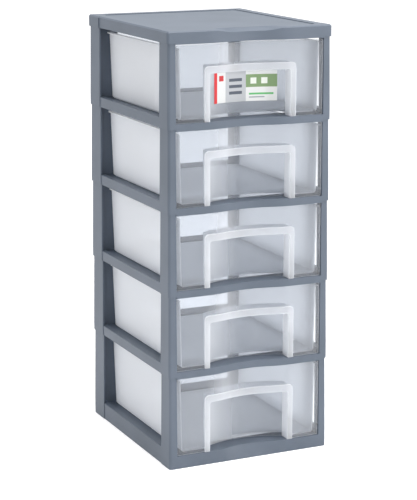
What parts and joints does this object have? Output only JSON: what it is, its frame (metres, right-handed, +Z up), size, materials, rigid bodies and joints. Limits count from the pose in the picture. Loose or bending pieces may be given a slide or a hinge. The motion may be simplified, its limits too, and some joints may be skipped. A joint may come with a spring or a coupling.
{
  "type": "plastic drawer tower",
  "caption": "Tall plastic storage tower: open stacking frames with a flat cover and translucent pull-out drawers that have finger recesses in their fronts.",
  "frame": {"origin": "middle of the footprint, on the floor", "axes": "+Z up, +X to the right seen from the front, +Y to the back; the drawers pull out along -Y"},
  "size_m": [0.295, 0.343, 0.7255],
  "materials": {
    "frame_plastic": "satin moulded polypropylene",
    "drawer_plastic": "translucent moulded polypropylene, smooth",
    "label_card": "coated card"
  },
  "bodies": {
    "tower": {"base_frame": "frame_plastic", "frame_2": "frame_plastic", "frame_3": "frame_plastic", "frame_4": "frame_plastic", "frame_5": "frame_plastic", "top_cover": "frame_plastic"},
    "drawer_1_body": {"drawer_1": "drawer_plastic"},
    "drawer_2_body": {"drawer_2": "drawer_plastic"},
    "drawer_3_body": {"drawer_3": "drawer_plastic"},
    "drawer_4_body": {"drawer_4": "drawer_plastic"},
    "drawer_5_body": {"drawer_5": "drawer_plastic", "label_card": "label_card"}
  },
  "joints": [
    {"name": "drawer_1_slide", "type": "slide", "parent": "tower", "child": "drawer_1_body", "axis": [0, -1, 0], "range_m": [0, 0.245]},
    {"name": "drawer_2_slide", "type": "slide", "parent": "tower", "child": "drawer_2_body", "axis": [0, -1, 0], "range_m": [0, 0.245]},
    {"name": "drawer_3_slide", "type": "slide", "parent": "tower", "child": "drawer_3_body", "axis": [0, -1, 0], "range_m": [0, 0.245]},
    {"name": "drawer_4_slide", "type": "slide", "parent": "tower", "child": "drawer_4_body", "axis": [0, -1, 0], "range_m": [0, 0.245]},
    {"name": "drawer_5_slide", "type": "slide", "parent": "tower", "child": "drawer_5_body", "axis": [0, -1, 0], "range_m": [0, 0.245]}
  ]
}
